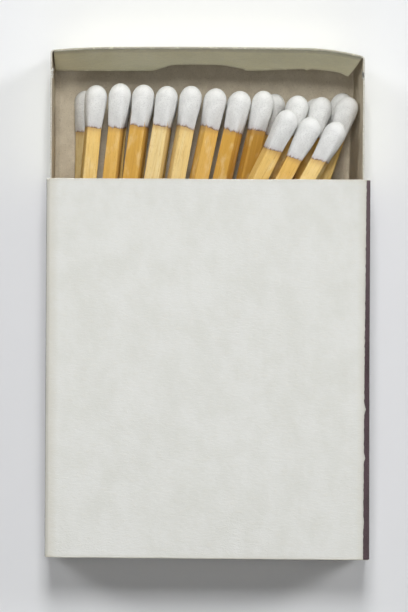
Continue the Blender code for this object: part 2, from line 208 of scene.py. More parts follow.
# How each match looks. Its wood: tone from pale (0) to golden (1) and width against the others.
# Its head: how much longer in mm, slant of the lower edge in mm, the side that it is lower on in
# degrees, how ragged that edge is, width against the others and sideways bend at the tip in mm.
PLAIN = (0.4, 1.0, 0.2, 0.2, 40, 1.0, 1.0, 0.0)
LOOKS = {
    "upper_match_01": (0.30, 0.95, 0.3, 0.1, 0, 0.7, 1.0, 0.0),
    "upper_match_02": (0.66, 0.91, 0.55, 0.2, 60, 0.9, 1.0, 0.0),
    "upper_match_03": (0.74, 1.06, 0.1, 0.25, 40, 1.0, 1.0, 0.0),
    "upper_match_04": (0.08, 1.04, 0.0, 0.15, 20, 0.7, 1.0, 0.0),
    "upper_match_05": (0.14, 1.0, 0.2, 0.35, 20, 1.1, 1.0, 0.0),
    "upper_match_06": (0.62, 1.0, 0.0, 0.4, 10, 1.0, 1.02, 0.05),
    "upper_match_07": (0.80, 1.0, 0.0, 0.3, 10, 2.0, 1.04, 0.12),
    "upper_match_08": (0.95, 1.0, 0.0, 0.2, 200, 0.8, 1.0, -0.12),
    "upper_match_09": (0.40, 1.0, 0.0, 0.1, 0, 1.0, 1.03, 0.1),
    "upper_match_10": (0.60, 1.0, 0.0, 0.1, 0, 1.0, 1.0, 0.1),
    "upper_match_11": (0.25, 1.0, 0.0, 0.1, 0, 1.0, 1.0, 0.35),
    "top_match_01": (0.42, 1.03, 0.4, 0.46, 180, 0.9, 1.0, 0.0),
    "top_match_02": (0.56, 1.0, 0.7, 0.32, 180, 0.8, 1.0, 0.0),
    "top_match_03": (0.24, 1.0, 0.4, 0.6, 180, 0.8, 1.0, 0.0),
    "lower_match_01": (0.00, 1.0, 0.2, 0.1, 0, 0.8, 1.04, -0.5),
}

# Tones of the wood from pale to golden: place from 0 to 1 and colour
WOOD_TONES = [
    (0.0, (0.80, 0.635, 0.31)), (0.3, (0.81, 0.565, 0.19)), (0.55, (0.745, 0.465, 0.12)),
    (0.8, (0.63, 0.355, 0.06)), (1.0, (0.50, 0.26, 0.036)),
]

# Colours of card: light, dark and, for a liner, where it is rubbed
SLEEVE_LINER = ((0.68, 0.685, 0.655), (0.64, 0.645, 0.605), (0.57, 0.545, 0.465))
TRAY_LINER = ((0.95, 0.91, 0.65), (0.90, 0.86, 0.60), (0.32, 0.305, 0.24))
SLEEVE_EDGE = ((0.87, 0.865, 0.82), (0.72, 0.70, 0.63))
TRAY_EDGE = ((0.62, 0.60, 0.54), (0.45, 0.43, 0.37))

# Light: each panel's place and size in metres and its power in watts
PANELS = [
    ("overhead", (0.0, 0.0, 0.6), 0.15, 0.15, 0.46),
    ("near_panel", (0.0, 0.32, 0.6), 0.14, 0.2, 2.1),
    ("far_panel", (0.01, 0.75, 0.6), 0.2, 0.3, 1.0),
    ("rear_panel", (0.0, -0.45, 0.6), 0.3, 0.3, 0.62),
    ("left_panel", (-0.7, 0.5, 0.6), 0.3, 0.3, 2.7),
    ("right_panel", (0.82, 0.45, 0.6), 0.3, 0.3, 4.2),
]

# Table top
TABLE_REACH = 1.5               # metres from its middle to each side
TABLE_DROP = 0.02 * MM          # it lies this far below the box

# Camera: straight down, at the height and over the point that give the photograph's frame
EYE_HEIGHT = 500 * MM
EYE_PLACE = (-0.53 * MM, 8.7 * MM)
PIXELS_PER_MM = 7.14
FRAME_PIXELS = 612
SENSOR = 36.0
EYE_ROLL = 0.3                  # degrees


# Small tools

def smoothstep(value):
    t = min(1.0, max(0.0, value))
    return t * t * (3 - 2 * t)


def wander(*place):
    """Smooth noise from -1 to 1; the place is in millimetres."""
    return noise.noise(Vector(place))


def stations(low, high, coarse, fine, margin):
    """Places from low to high, closer together near both ends."""
    near = max(1, round(margin / fine))
    far = max(1, round((high - low - 2 * margin) / coarse))
    return [*np.linspace(low, low + margin, near, endpoint=False),
            *np.linspace(low + margin, high - margin, far, endpoint=False),
            *np.linspace(high - margin, high, near + 1)]


def shown(name, mesh, *materials):
    """A new object with its materials."""
    made = bpy.data.objects.new(name, mesh)
    bpy.context.scene.collection.objects.link(made)
    for material in materials:
        mesh.materials.append(material)
    mesh.shade_smooth()
    return made


def dress(piece, node):
    """The piece stands for a node: it rides on the node's body, and the node is hidden."""
    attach(piece, frame["nodes"][node]["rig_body"])
    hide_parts(node)


def set_values(mesh, name, values):
    """A number for each vertex, which a material reads by its name."""
    layer = mesh.attributes.new(name, "FLOAT", "POINT")
    layer.data.foreach_set("value", np.array(values, np.float32))


def sheet_mesh(name, rows):
    """An open sheet from rows of points."""
    width = len(rows[0])
    points = [point for row in rows for point in row]
    faces = []
    for row in range(len(rows) - 1):
        for column in range(width - 1):
            first = row * width + column
            faces.append((first, first + 1, first + width + 1, first + width))
    mesh = bpy.data.meshes.new(name)
    mesh.from_pydata(points, [], faces)
    return mesh


def thicken(thing, thickness, rounding):
    """Give a sheet its thickness behind its face, with rounded rims."""
    solid = thing.modifiers.new("thickness", "SOLIDIFY")
    solid.thickness = thickness
    solid.offset = -1
    solid.use_even_offset = True
    solid.use_quality_normals = True
    if len(thing.data.materials) > 1:
        solid.material_offset = 1
        solid.material_offset_rim = 2
    rim = thing.modifiers.new("rim", "BEVEL")
    rim.width = rounding
    rim.segments = 2
    rim.limit_method = "ANGLE"
    rim.angle_limit = radians(RIM_ANGLE)


# Material tools

def add_node(tree, kind, inputs=None, **settings):
    """A shader node with its settings; each input is set, or linked to a socket."""
    made = tree.nodes.new("ShaderNode" + kind)
    for name, value in settings.items():
        setattr(made, name, value)
    for key, value in (inputs or {}).items():
        if isinstance(value, bpy.types.NodeSocket):
            tree.links.new(value, made.inputs[key])
        else:
            made.inputs[key].default_value = value
    return made


def start_material(name):
    """A material, its node tree and the piece's own coordinates in millimetres."""
    made = bpy.data.materials.new(name)
    made.use_nodes = True
    tree = made.node_tree
    place = add_node(tree, "TexCoord").outputs["Object"]
    scaled = add_node(tree, "Mapping", {"Vector": place, "Scale": (1000, 1000, 1000)})
    return made, tree, scaled.outputs["Vector"]


def grain(tree, place, stretch, detail=2.0, roughness=0.5, distortion=0.0):
    """Noise whose scale is given per millimetre along each axis."""
    scaled = add_node(tree, "Mapping", {"Vector": place, "Scale": stretch}).outputs["Vector"]
    made = add_node(tree, "TexNoise", {
        "Vector": scaled, "Scale": 1.0, "Detail": detail, "Roughness": roughness,
        "Distortion": distortion})
    return made.outputs["Fac"]


def band(tree, value, low, high, top=1.0):
    """A value's smooth rise from 0 at low to top at high."""
    made = add_node(tree, "MapRange", {"Value": value, "From Min": low, "From Max": high,
                                       "To Max": top}, interpolation_type="SMOOTHSTEP")
    return made.outputs["Result"]


def maths(tree, operation, first, second, clamp=False):
    made = add_node(tree, "Math", {0: first, 1: second}, operation=operation, use_clamp=clamp)
    return made.outputs[0]


def mix(tree, amount, first, second):
    """A mix of two colours, each a socket or three numbers."""
    first, second = (colour if isinstance(colour, bpy.types.NodeSocket) else (*colour, 1.0)
                     for colour in (first, second))
    made = add_node(tree, "Mix", {0: amount, 6: first, 7: second}, data_type="RGBA")
    return made.outputs[2]


def colours_along(tree, value, stops):
    """A colour that runs through stops of a place from 0 to 1 and three numbers."""
    made = add_node(tree, "ValToRGB", {"Fac": value})
    ramp = made.color_ramp.elements
    while len(ramp) < len(stops):
        ramp.new(0.5)
    for element, (place, colour) in zip(ramp, stops):
        element.position = place
        element.color = (*colour, 1.0)
    return made.outputs["Color"]


def attribute(tree, name):
    return add_node(tree, "Attribute", attribute_name=name).outputs["Fac"]


def finish_material(tree, colour, roughness, height, depth):
    """Colour, roughness and bump go into the Principled shader."""
    bump = add_node(tree, "Bump", {"Height": height, "Distance": depth, "Strength": 1.0})
    shader = tree.nodes["Principled BSDF"]
    tree.links.new(colour, shader.inputs["Base Color"])
    tree.links.new(roughness, shader.inputs["Roughness"])
    tree.links.new(bump.outputs["Normal"], shader.inputs["Normal"])
    shader.inputs["Specular IOR Level"].default_value = 0.3


# Materials

def coated_face(name, light, dark, worn):
    """The coated face of card: clouds and fibres, and another tone where it is rubbed."""
    made, tree, place = start_material(name)
    clouds = grain(tree, place, (0.3, 0.22, 0.3), detail=4, roughness=0.6)
    fibres = grain(tree, place, (1.3, 3.2, 3.2), detail=5, roughness=0.65, distortion=0.6)
    pits = grain(tree, place, (9, 9, 9), detail=2)
    colour = mix(tree, band(tree, clouds, 0.3, 0.7), light, dark)
    colour = mix(tree, band(tree, fibres, 0.48, 0.75, 0.26), colour, worn)
    rubbed = maths(tree, "MULTIPLY", attribute(tree, "wear"), band(tree, fibres, 0.1, 0.5))
    colour = mix(tree, rubbed, colour, worn)
    height = maths(tree, "ADD", fibres, maths(tree, "MULTIPLY", pits, 0.35))
    finish_material(tree, colour, band(tree, fibres, 0.2, 1.4), height, 0.035 * MM)
    return made


def greyboard():
    """Uncoated board: brown-grey, with light and dark fibres."""
    made, tree, place = start_material("greyboard")
    clouds = grain(tree, place, (0.5, 0.5, 0.5), detail=3)
    fibres = grain(tree, place, (2.6, 1.5, 2.6), detail=5, roughness=0.7, distortion=1.0)
    flecks = grain(tree, place, (5, 5, 5), detail=3, roughness=0.6)
    colour = mix(tree, band(tree, clouds, 0.3, 0.7), (0.62, 0.55, 0.425), (0.53, 0.46, 0.345))
    colour = mix(tree, band(tree, fibres, 0.5, 0.72, 0.5), colour, (0.74, 0.66, 0.52))
    colour = mix(tree, band(tree, flecks, 0.56, 0.72, 0.6), colour, (0.31, 0.25, 0.17))
    height = maths(tree, "ADD", fibres, maths(tree, "MULTIPLY", flecks, 0.5))
    finish_material(tree, colour, band(tree, fibres, -0.6, 1.2), height, 0.035 * MM)
    return made


def card_edge(name, light, dark):
    """The cut edge of card, with soft torn layers."""
    made, tree, place = start_material(name)
    layers = grain(tree, place, (1.5, 6, 6), detail=4, roughness=0.7)
    colour = mix(tree, band(tree, layers, 0.35, 0.7), light, dark)
    finish_material(tree, colour, band(tree, layers, -0.6, 1.2), layers, 0.03 * MM)
    return made


def striking_coat():
    """Dark, gritty striking surface, with paler grains where it is rubbed."""
    made, tree, place = start_material("striking_coat")
    grit = grain(tree, place, (7, 7, 7), detail=4, roughness=0.75)
    patches = grain(tree, place, (0.5, 0.35, 0.5), detail=4, roughness=0.6)
    fading = grain(tree, place, (0.02, 0.035, 0.02), detail=1)
    colour = mix(tree, band(tree, patches, 0.3, 0.7), (0.085, 0.052, 0.062), (0.055, 0.038, 0.040))
    colour = mix(tree, band(tree, grit, 0.56, 0.7, 0.55), colour, (0.22, 0.18, 0.18))
    colour = mix(tree, band(tree, grit, 0.44, 0.32, 0.8), colour, (0.022, 0.014, 0.015))
    colour = mix(tree, band(tree, fading, 0.35, 0.65, 0.25), colour, (0.13, 0.09, 0.10))
    faded = band(tree, attribute(tree, "fade"), 0.4, 1.0, 0.4)
    colour = mix(tree, faded, colour, (0.19, 0.14, 0.15))
    finish_material(tree, colour, band(tree, grit, -1.2, 0.9), grit, 0.05 * MM)
    return made


def stick_wood():
    """Sawn poplar: long grain, pores and a tone that differs from stick to stick."""
    made, tree, place = start_material("stick_wood")
    shift = add_node(tree, "CombineXYZ", {
        "X": maths(tree, "MULTIPLY", attribute(tree, "shift"), 37.0),
        "Y": maths(tree, "MULTIPLY", attribute(tree, "shift"), 91.0)})
    moved = add_node(tree, "VectorMath", {0: place, 1: shift.outputs[0]}, operation="ADD")
    place = moved.outputs[0]
    bands = grain(tree, place, (1.3, 0.05, 1.3), detail=3, distortion=0.8)
    lines = grain(tree, place, (7, 0.28, 7), detail=4, roughness=0.65, distortion=0.4)
    pores = grain(tree, place, (7, 1.6, 7), detail=3, roughness=0.7)
    clouds = grain(tree, place, (0.8, 0.35, 0.8), detail=3)
    tone = maths(tree, "ADD", attribute(tree, "tone"),
                 maths(tree, "MULTIPLY", maths(tree, "SUBTRACT", bands, 0.5), 0.6), True)
    colour = colours_along(tree, tone, WOOD_TONES)
    colour = mix(tree, band(tree, lines, 0.5, 0.7, 0.5), colour, (0.50, 0.27, 0.06))
    colour = mix(tree, band(tree, clouds, 0.5, 0.75, 0.35), colour, (0.92, 0.78, 0.46))
    colour = mix(tree, band(tree, pores, 0.56, 0.72, 0.4), colour, (0.40, 0.20, 0.05))
    stain = band(tree, attribute(tree, "stain"), 0.0, 1.0, 0.6)
    colour = mix(tree, stain, colour, (0.42, 0.23, 0.08))
    height = maths(tree, "ADD", lines, maths(tree, "MULTIPLY", pores, 0.5))
    finish_material(tree, colour, band(tree, lines, -0.7, 1.3), height, 0.04 * MM)
    return made


def head_compound():
    """White compound: finely pitted, with a painted highlight towards its tip and painted shade
    over its lower part, lilac-grey then brown at its edge.
    """
    made, tree, place = start_material("head_compound")
    edge = attribute(tree, "edge")
    lumps = grain(tree, place, (1.1, 0.8, 1.1), detail=3)
    streaks = grain(tree, place, (4.5, 1.0, 4.5), detail=3, roughness=0.6)
    pits = grain(tree, place, (6, 6, 6), detail=4, roughness=0.75)
    colour = mix(tree, band(tree, lumps, 0.3, 0.7), (0.84, 0.845, 0.825), (0.76, 0.765, 0.745))
    colour = mix(tree, band(tree, pits, 0.50, 0.36, 0.8), colour, (0.60, 0.60, 0.59))
    # Painted highlight: the compound is whiter towards the tip
    colour = mix(tree, band(tree, edge, 4.0, 5.6, 0.6), colour, (0.93, 0.935, 0.92))
    colour = mix(tree, band(tree, streaks, 0.52, 0.78, 0.3), colour, (0.68, 0.68, 0.68))
    # Painted shade: the compound is greyer over the head's lower part
    colour = mix(tree, band(tree, edge, 3.2, 0.8, 0.45), colour, (0.64, 0.64, 0.63))
    ragged = maths(tree, "ADD", edge, maths(tree, "SUBTRACT", streaks, 0.5))
    colour = mix(tree, band(tree, ragged, 0.9, 0.2, 0.45), colour, (0.58, 0.54, 0.56))
    colour = mix(tree, band(tree, ragged, 0.30, 0.05, 0.8), colour, (0.40, 0.29, 0.22))
    colour = mix(tree, band(tree, ragged, 0.10, -0.06, 0.85), colour, (0.22, 0.11, 0.05))
    height = maths(tree, "ADD", pits, maths(tree, "MULTIPLY", streaks, 0.8))
    finish_material(tree, colour, band(tree, pits, -0.9, 1.1), height, 0.1 * MM)
    return made


# Sleeve

def rounded_line(corners, radius, spacing):
    """Points along a bent line with round corners, and the points of its corners alone."""
    arc_steps = 8
    stops = [(Vector(corners[0]), False)]
    for before, corner, after in zip(corners, corners[1:], corners[2:]):
        corner = Vector(corner)
        inward = (Vector(before) - corner).normalized()
        outward = (Vector(after) - corner).normalized()
        opening = inward.angle(outward)
        centre = corner + (inward + outward).normalized() * radius / sin(opening / 2)
        start = corner + inward * radius / tan(opening / 2) - centre
        sweep = (pi - opening) * (1 if inward.cross(outward) < 0 else -1)
        for step in range(arc_steps + 1):
            stops.append((centre + Matrix.Rotation(sweep * step / arc_steps, 2) @ start, True))
    stops.append((Vector(corners[-1]), False))
    line = []
    for (here, curved), (there, next_curved) in zip(stops, stops[1:]):
        count = max(1, round((there - here).length / spacing))
        if curved and next_curved and (there - here).length < radius:
            count = 1
        line += [here.lerp(there, step / count) for step in range(count)]
    line.append(stops[-1][0])
    return line, [point for point, curved in stops if curved]


def sleeve_flare(x, y):
    """The sleeve is a little wider on the right towards its rear, and on the left all along."""
    if x < 0:
        return LEFT_FLARE * x / SLEEVE_HIGH.x
    return RIGHT_FLARE * (x / SLEEVE_HIGH.x) * max(0.0, -y / SLEEVE_HIGH.y)


def rear_slant(x, y):
    """The sleeve's rear edge is cut aslant, farther out on the right."""
    reach = REAR_LEFT + (REAR_RIGHT - REAR_LEFT) * (x / SLEEVE_HIGH.x + 1) / 2
    return -reach * max(0.0, -y / SLEEVE_HIGH.y)


def sleeve_point(point, y):
    """A point of the sleeve's outer face, with the sag, wander and chip of real card."""
    x, z = point
    middle = SLEEVE_HIGH.z / 2
    from_mouth = SLEEVE_HIGH.y - abs(y)
    near_mouth = exp(-from_mouth / MOUTH_REACH)
    across = max(0.0, 1 - (x / (SLEEVE_HIGH.x - SLEEVE_FOLD)) ** 2)
    facing = 1 if z > middle else 0
    uneven = 1 + SAG_UNEVEN * wander(x / MM * 0.09, y / MM * 0.07, 2.0)
    sag = TOP_SAG * sqrt(across) * facing * uneven
    slip = MOUTH_WAVE * near_mouth * wander(x / MM * 0.35, z / MM * 0.35, 7 + y / MM)
    corner = Vector((x - SLEEVE_LOW.x, z - SLEEVE_HIGH.z)).length
    if y > 0:
        slip -= CHIP_DEPTH * near_mouth * exp(-(corner / CHIP_WIDTH) ** 2)
    return (x + sleeve_flare(x, y), y + slip + rear_slant(x, y), z - sag)


def make_sleeve(liner, board, edge):
    """The sleeve: one folded card from its glued lap round to the outer ply's edge."""
    half = SLEEVE_HIGH.x
    lap_face = half - CARD - LAP_GLUE
    corners = [(lap_face, LAP_HEIGHT), (lap_face, 0), (-half, 0), (-half, SLEEVE_HIGH.z),
               (half, SLEEVE_HIGH.z), (half, LAP_EDGE)]
    line, bends = rounded_line(corners, SLEEVE_FOLD, SLEEVE_STEP)
    places = stations(SLEEVE_LOW.y, SLEEVE_HIGH.y, *SLEEVE_ROWS)
    rows = [[sleeve_point(point, y) for y in places] for point in line]
    wear = []
    for point in line:
        bend = min((point - corner).length for corner in bends)
        for y in places:
            mouth = exp(-(SLEEVE_HIGH.y - abs(y)) / MOUTH_WEAR)
            wear.append(min(1.0, FOLD_RUB * exp(-bend / FOLD_WEAR) + MOUTH_RUB * mouth))
    mesh = sheet_mesh("sleeve_card", rows)
    mesh.flip_normals()
    set_values(mesh, "wear", wear)
    sleeve = shown("sleeve_card", mesh, liner, board, edge)
    thicken(sleeve, CARD, RIM_ROUNDING)
    dress(sleeve, "sleeve")


def point_along(line, distance):
    """The point at a distance along a bent line."""
    for here, there in zip(line, line[1:]):
        step = (there - here).length
        if distance <= step or there is line[-1]:
            return here.lerp(there, distance / step)
        distance -= step


def make_striker(name, line, over, node, coat):
    """A thin skin with ragged edges, the last of which passes the line's end by over(y)."""
    places = stations(SLEEVE_LOW.y + COAT_END, SLEEVE_HIGH.y - COAT_END, *COAT_ROWS)
    length = sum((there - here).length for here, there in zip(line, line[1:]))
    line = [*line, line[-1] + (line[-1] - line[-2]).normalized() * MM]
    rows = []
    shares = [*np.linspace(0, COAT_RIM, 22, endpoint=False), *np.linspace(COAT_RIM, 1, 20)]
    for share in shares:
        row = []
        for y in places:
            ragged = COAT_RAGGED * wander(y / MM * 1.7, 3.0 * (share > 0.5), 4.0)
            ragged += COAT_RAGGED_FINE * wander(y / MM * 5, 1.0, 3.0 * (share > 0.5))
            near_edge = max(0.0, 1 - min(share, 1 - share) / COAT_EDGE)
            spot = point_along(line, max(0.0, (length + over(y)) * share + ragged * near_edge))
            row.append((spot.x + sleeve_flare(spot.x, y), y + rear_slant(spot.x, y), spot.y))
        rows.append(row)
    mesh = sheet_mesh(name, rows)
    set_values(mesh, "fade", [0.5 + vert.co.y / (2 * SLEEVE_HIGH.y) for vert in mesh.vertices])
    if line[0].x > 0:
        mesh.flip_normals()
    striker = shown(name, mesh, coat)
    thicken(striker, COAT - COAT_SEAT, COAT_ROUNDING)
    dress(striker, node)


def coat_over(y):
    """How far the right coat passes the top fold: more at the rear, and less at its nicks."""
    over = COAT_OVER - COAT_OVER_TURN * y / SLEEVE_HIGH.y
    nicks = (depth * exp(-((y - place) / width) ** 2) for place, width, depth in COAT_NICKS)
    return over - sum(nicks)


def make_strikers(coat):
    """The right coat runs round the top fold; the left one is flat on its side."""
    face = SLEEVE_HIGH.x + COAT
    centre = Vector((SLEEVE_HIGH.x - SLEEVE_FOLD, SLEEVE_HIGH.z - SLEEVE_FOLD))
    right = [Vector((face, COAT_MARGIN))]
    for angle in np.linspace(0, pi / 2, 15):
        right.append(centre + Vector((cos(angle), sin(angle))) * (SLEEVE_FOLD + COAT))
    make_striker("striking_surface_right", right, coat_over, "striker_right", coat)
    low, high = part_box("striker_left")
    side = SLEEVE_HIGH.x + COAT_LEFT
    make_striker("striking_surface_left", [Vector((-side, low.z)), Vector((-side, high.z))],
                 lambda y: 0.0, "striker_left", coat)


# Tray

def end_drop(x):
    """How far the end walls curve back from their middle."""
    from_left = x + TRAY_WIDTH / 2
    from_right = TRAY_WIDTH / 2 - x
    drop = END_DROP_LEFT * max(0.0, 1 - from_left / END_ROUND) ** 2
    drop += END_DROP_RIGHT * max(0.0, 1 - from_right / END_ROUND) ** 2
    return drop - END_BOW * (1 - (2 * x / TRAY_WIDTH) ** 2)


def flap_pressed(x):
    """How much of its left end's shape the flap has here: 1 at that end, 0 farther in."""
    return max(0.0, 1 - (x + TRAY_WIDTH / 2) / FLAP_LEFT_RUN) ** 2


def flap_tip(x):
    """1 at the flap's right end, 0 farther in."""
    return smoothstep(1 - (TRAY_WIDTH / 2 - FLAP_GAP - x) / FLAP_TIP_RUN)


def flap_length(x):
    """The flap's length below its fold: lower at the left, with a stepped arch in the middle,
    shorter towards the right, a small tab there and a longer tip."""
    rising = smoothstep((x - ARCH_LEFT) / ARCH_LEFT_RAMP)
    falling = (ARCH_RIGHT - x) / ARCH_RIGHT_RAMP
    falling = smoothstep(ARCH_STEP + (1 - ARCH_STEP) * falling) if falling > 0 else 0.0
    middle = (ARCH_LEFT + ARCH_RIGHT) / 2
    crown = 1 - ARCH_CROWN * ((x - middle) / (ARCH_RIGHT - middle)) ** 2
    length = FLAP_LENGTH - ARCH_HEIGHT * rising * falling * crown
    length -= FLAP_RIGHT_CUT * smoothstep((x - 0.4 * TAB_PLACE) / (0.7 * TAB_PLACE))
    length += FLAP_RIGHT_TIP * flap_tip(x)
    length += FLAP_LEFT_DROP * flap_pressed(x)
    length += TAB_LENGTH * smoothstep(1 - abs(x - TAB_PLACE) / TAB_WIDTH)
    return length + FLAP_WAVER * wander(x / MM * 0.9, 0.0, 5.0)


def tray_point(across, along, height, back=0.0):
    """A point of the tray's outer face: across its top edges, along it, above its floor."""
    end = 1 if along > 0 else -1
    from_end = TRAY_LENGTH / 2 - abs(along)
    splay = FRONT_SPLAY + (MIDDLE_SPLAY - FRONT_SPLAY) * smoothstep(
        (from_end - SPLAY_START) / SPLAY_RUN)
    share = across / TRAY_WIDTH + 0.5
    curve = 1 + SPLAY_CURVE * exp(-((from_end - CURVE_PLACE) / CURVE_RUN) ** 2)
    x = across - share * splay * max(0.0, 1 - height / TRAY_HEIGHT) ** curve
    x += WALL_SPREAD * (2 * share - 1) * (1 - smoothstep((from_end - SPREAD_START) / SPREAD_RUN))
    y = along * (1 - end_drop(across) / (TRAY_LENGTH / 2)) - end * back
    z = height
    foot = TRAY_WIDTH / 2 - abs(across)
    if height == 0.0:
        z += CREASE_HEIGHT * exp(-((foot - CREASE_PLACE) / CREASE_WIDTH) ** 2)
    if foot == 0.0 and height == TRAY_HEIGHT:
        z -= WALL_RAGGED * (1 + wander(y / MM * 2.2, share * 9, 1.0))
        for side, place, length, depth in TEARS:
            if side * across > 0 and end > 0:
                z -= depth * exp(-((from_end - place) / (length / 2)) ** 2)
    return TRAY_PLACE + Vector((x, y, z))


def draw_out(bm, edges):
    """Extrude edges in place, and give the new edges and their vertices."""
    drawn = bmesh.ops.extrude_edge_only(bm, edges=edges)["geom"]
    new_edges = [item for item in drawn if isinstance(item, bmesh.types.BMEdge)]
    new_verts = [item for item in drawn if isinstance(item, bmesh.types.BMVert)]
    return new_edges, new_verts


def across_places():
    """Places across the tray: close together at the scored lines, the arch and the tab."""
    edge = TRAY_WIDTH / 2
    inner = edge - FLAP_GAP
    places = [side * (edge - gap * MM) for side in (-1, 1) for gap in CREASE_COLUMNS]
    places += list(np.linspace(-inner, inner, 41))
    places += list(np.linspace(ARCH_LEFT, ARCH_LEFT + ARCH_LEFT_RAMP, 7))
    places += list(np.linspace(ARCH_RIGHT - ARCH_RIGHT_RAMP, ARCH_RIGHT, 7))
    places.append(ARCH_RIGHT + 0.06 * MM)
    places += list(np.linspace(TAB_PLACE - TAB_WIDTH, TAB_PLACE + TAB_WIDTH, 7))
    kept = [-edge]
    for place in sorted(places):
        if place - kept[-1] > LEAST_STEP:
            kept.append(float(place))
    return [*kept, edge]


def tray_sheet():
    """The tray as one folded sheet: floor, side walls, end walls and their turned-in flaps."""
    bm = bmesh.new()
    across = bm.verts.layers.float.new("across")
    along = bm.verts.layers.float.new("along")
    columns = across_places()
    rows = stations(-TRAY_LENGTH / 2, TRAY_LENGTH / 2, *TRAY_ROWS)
    rows = [rows[0], rows[0] + FOLD_ROOM, *rows[4:-4], rows[-1] - FOLD_ROOM, rows[-1]]
    bmesh.ops.create_grid(bm, x_segments=len(columns) - 1, y_segments=len(rows) - 1, size=0.5)
    for vert in bm.verts:
        vert[across] = columns[round((vert.co.x + 0.5) * (len(columns) - 1))]
        vert[along] = rows[round((vert.co.y + 0.5) * (len(rows) - 1))]
        vert.co = tray_point(vert[across], vert[along], 0.0)

    def at_side(vert):
        return abs(vert[across]) > TRAY_WIDTH / 2 - CARD

    row = [edge for edge in bm.edges if edge.is_boundary]
    for height in WALL_HEIGHTS:
        row, raised = draw_out(bm, row)
        for vert in raised:
            level = height * MM
            if level > TRAY_HEIGHT - TOP_FOLD:
                level = TRAY_HEIGHT if at_side(vert) else TRAY_HEIGHT - TOP_FOLD
            side = TRAY_WIDTH / 2 * (1 if vert[across] > 0 else -1)
            place = side if at_side(vert) else vert[across]
            vert.co = tray_point(place, vert[along], level)

    shares = np.linspace(0, 1, FLAP_STEPS + 1)[1:]
    steps = [*((share, 0.0) for share in shares), *((1.0, share) for share in shares)]
    row = [edge for edge in row if not any(at_side(vert) for vert in edge.verts)]
    for turned, share in steps:
        row, drawn = draw_out(bm, row)
        for vert in drawn:
            lean = radians(FLAP_LEAN - FLAP_LEFT_PRESS * flap_pressed(vert[across]))
            angle = (pi - lean - radians(FLAP_CURL)) * turned
            length = flap_length(vert[across])
            run = length * share
            bulge = length * radians(FLAP_CURL) * share * (1 - share)
            bow = FLAP_BOW * share * wander(vert[across] / MM * 0.12, vert[along] / MM, 3.0)
            back = TOP_FOLD * (1 - cos(angle)) + run * sin(lean) + bulge * cos(lean) + bow
            height = TRAY_HEIGHT - TOP_FOLD * (1 - sin(angle))
            height = height - run * cos(lean) + bulge * sin(lean)
            place = vert[across] - FLAP_TAPER * share * flap_tip(vert[across])
            vert.co = tray_point(place, vert[along], height, back)

    bm.normal_update()
    creases = [edge for edge in bm.edges if edge.calc_face_angle(0.0) > radians(45)]
    bmesh.ops.bevel(bm, geom=creases, offset=TRAY_FOLD, segments=4, profile=0.5, affect="EDGES")
    bmesh.ops.recalc_face_normals(bm, faces=bm.faces)
    floor = min(bm.faces, key=lambda face: face.calc_center_median().z)
    if floor.normal.z > 0:
        bmesh.ops.reverse_faces(bm, faces=bm.faces)

    # The bevel lists its faces in another order each run, and some from the opposite corner.
    # The mesh lists them in a fixed order, each from the lower of its first and third corners.
    bm.verts.index_update()
    faces = []
    for face in bm.faces:
        corners = [vert.index for vert in face.verts]
        faces.append(min(corners, corners[2:] + corners[:2]))
    mesh = bpy.data.meshes.new("tray_card")
    mesh.from_pydata([vert.co for vert in bm.verts], [], sorted(faces))
    bm.free()
    return mesh


def make_tray(liner, board, edge):
    """The tray: greyboard inside, a coated liner outside and over the flaps."""
    mesh = tray_sheet()
    top = TRAY_PLACE.z + TRAY_HEIGHT
    set_values(mesh, "wear", [exp(-((top - vert.co.z) / TRAY_WEAR) ** 2) for vert in mesh.vertices])
    tray = shown("tray_card", mesh, liner, board, edge)
    thicken(tray, TRAY_CARD, TRAY_ROUNDING)
    dress(tray, "tray")


def make_tears(edge):
    """Torn pale fibres where the tray's corners have split, as thin pointed slivers."""
    for side, place, length, depth in TEARS:
        bm = bmesh.new()
        for number in range(SLIVERS):
            pick = [abs(noise.cell(Vector((number * 3.7 + salt * 11.3, side * 5.0, salt))))
                    for salt in range(5)]
            along = TRAY_LENGTH / 2 - place + (pick[0] - 0.5) * length * 1.3
            foot = tray_point(side * TRAY_WIDTH / 2, along, TRAY_HEIGHT - depth * (0.1 + pick[4]))
            foot.x -= side * (0.03 + 0.2 * pick[1]) * MM
            reach = (0.15 + 0.3 * pick[2]) * MM
            heading = Vector((-side * (0.1 + pick[3]), (pick[1] - 0.5) * 2.4,
                              0.6 * (pick[4] - 0.7)))
            tip = foot + heading.normalized() * reach
            wide = Vector((0.03, 0.09 + 0.06 * pick[0], 0.02)) * MM
            base = [bm.verts.new(foot + Vector(offset)) for offset in (
                (-wide.x, -wide.y, 0), (wide.x, -wide.y / 2, wide.z), (wide.x, wide.y, 0),
                (-wide.x, wide.y / 2, -wide.z))]
            point = bm.verts.new(tip)
            bm.faces.new(base[::-1])
            for first, second in zip(base, base[1:] + base[:1]):
                bm.faces.new((first, second, point))
        bmesh.ops.recalc_face_normals(bm, faces=bm.faces)
        name = "torn_corner_left" if side < 0 else "torn_corner_right"
        mesh = bpy.data.meshes.new(name)
        bm.to_mesh(mesh)
        bm.free()
        fibres = shown(name, mesh, edge)
        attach(fibres, "tray")


# Matches

def match_frame(node):
    """A match's own frame, from its stick: butt at the origin, +Y along it, +Z its upper face."""
    mesh = frame["nodes"][node].data
    points = np.array([vert.co for vert in mesh.vertices])
    centre = points.mean(axis=0)
    along = Vector(np.linalg.svd(points - centre)[2][0])
    if along.y < 0:
        along = -along
    upper = max(mesh.polygons, key=lambda face: face.area * max(0.0, face.normal.z))
    up = (upper.normal - upper.normal.dot(along) * along).normalized()
    across = along.cross(up)
    reach = (points - centre) @ np.array(along)
    butt = Vector(centre) + along * float(reach.min())
    turn = Matrix((across, along, up)).transposed().to_4x4()
    return Matrix.Translation(butt) @ turn


